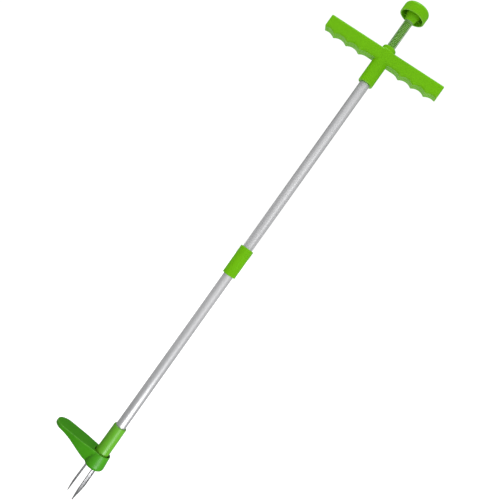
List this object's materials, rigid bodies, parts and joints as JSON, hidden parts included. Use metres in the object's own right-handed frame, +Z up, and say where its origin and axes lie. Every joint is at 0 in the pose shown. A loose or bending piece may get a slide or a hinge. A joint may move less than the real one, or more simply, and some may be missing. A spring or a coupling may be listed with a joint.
{
  "type": "stand up weeder",
  "caption": "Upright lawn weeder: T-handle with finger scallops on a joined tube, one-sided foot pedal, flat steel tines in a ring, and a sprung push knob that drives an ejector rod.",
  "frame": {"origin": "bottom centre of the bounding box: on the tube's axis, at the level of the lowest claw tip", "axes": "+Z up along the tube, X along the T-handle with the foot pedal toward -X, -Y is the front"},
  "size_m": [0.222, 0.0456, 1],
  "materials": {
    "handle_green": "semi-gloss moulded polypropylene, bright yellow-green",
    "head_green": "semi-gloss moulded nylon, deeper green",
    "tube_aluminium": "bare drawn aluminium, satin",
    "claw_steel": "stainless strip, ground points",
    "spring_steel": "green-coated steel: the spring and the two washers it bears on",
    "screw_steel": "zinc plated",
    "rod_steel": "drawn bar, lightly oiled",
    "bush_plastic": "natural acetal",
    "ejector_plastic": "black glass-filled nylon"
  },
  "bodies": {
    "frame": {"handle_front_shell": "handle_green", "handle_back_shell": "handle_green", "handle_screws": "screw_steel", "top_guide_bush": "bush_plastic", "spring_seat_washer": "spring_steel", "return_spring": "spring_steel", "upper_tube": "tube_aluminium", "upper_tube_screw": "screw_steel", "joiner_sleeve": "handle_green", "joiner_screws": "screw_steel", "lower_tube": "tube_aluminium", "lower_tube_screw": "screw_steel", "claw_socket": "head_green", "lower_guide_bush": "bush_plastic", "foot_pedal": "head_green", "pedal_screw": "screw_steel", "claw_front": "claw_steel", "claw_back": "claw_steel", "claw_left": "claw_steel"},
    "plunger": {"knob_cap": "handle_green", "knob_nut": "screw_steel", "plunger_stem": "handle_green", "spring_top_washer": "spring_steel", "upper_push_rod": "rod_steel", "rod_coupler": "rod_steel", "coupler_set_screws": "screw_steel", "lower_push_rod": "rod_steel", "rod_stop_collar": "rod_steel", "collar_pin": "screw_steel", "ejector_plunger": "ejector_plastic", "ejector_screw": "screw_steel"}
  },
  "joints": [
    {"name": "plunger_slide", "type": "slide", "parent": "frame", "child": "plunger", "axis": [0, 0, -1], "range_m": [0, 0.032], "stiffness_N_per_m": 1200, "springref_m": -0.008, "deforming": ["return_spring"]}
  ]
}
